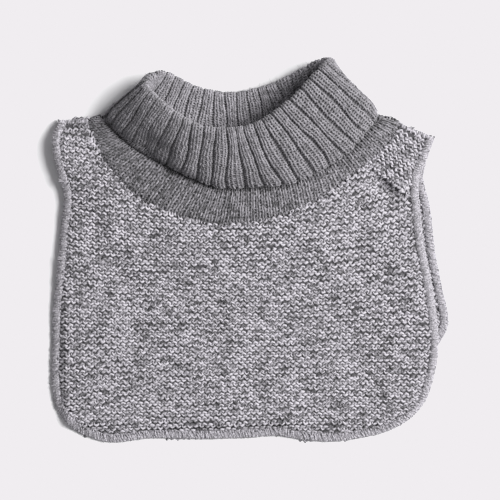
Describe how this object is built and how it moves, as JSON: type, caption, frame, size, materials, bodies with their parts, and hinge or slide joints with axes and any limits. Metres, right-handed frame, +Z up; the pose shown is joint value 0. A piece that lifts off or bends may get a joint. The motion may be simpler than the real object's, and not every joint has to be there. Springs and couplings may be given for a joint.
{
  "type": "knitted neck warmer",
  "caption": "Knitted turtleneck neck warmer with a turned-down rib collar, a yoke band and a marl bib in front and behind, lying flat.",
  "frame": {"origin": "under the middle of the whole thing as it lies, on the surface it lies on", "axes": "+Z up from the surface, +Y from the bibs' lower edge towards the collar, +X to the right of the front as it is seen from above"},
  "size_m": [0.2984, 0.2883, 0.0408],
  "materials": {
    "rib_wool": "heather grey rib knit",
    "band_wool": "darker heather grey stockinette",
    "marl_wool": "light and dark grey marl, purl side out",
    "edge_wool": "light grey overlocked edge"
  },
  "bodies": {
    "root": {"rib_collar": "rib_wool", "neck_band": "band_wool", "front_bib": "marl_wool", "back_bib": "marl_wool", "front_edging": "edge_wool", "back_edging": "edge_wool"}
  },
  "joints": []
}
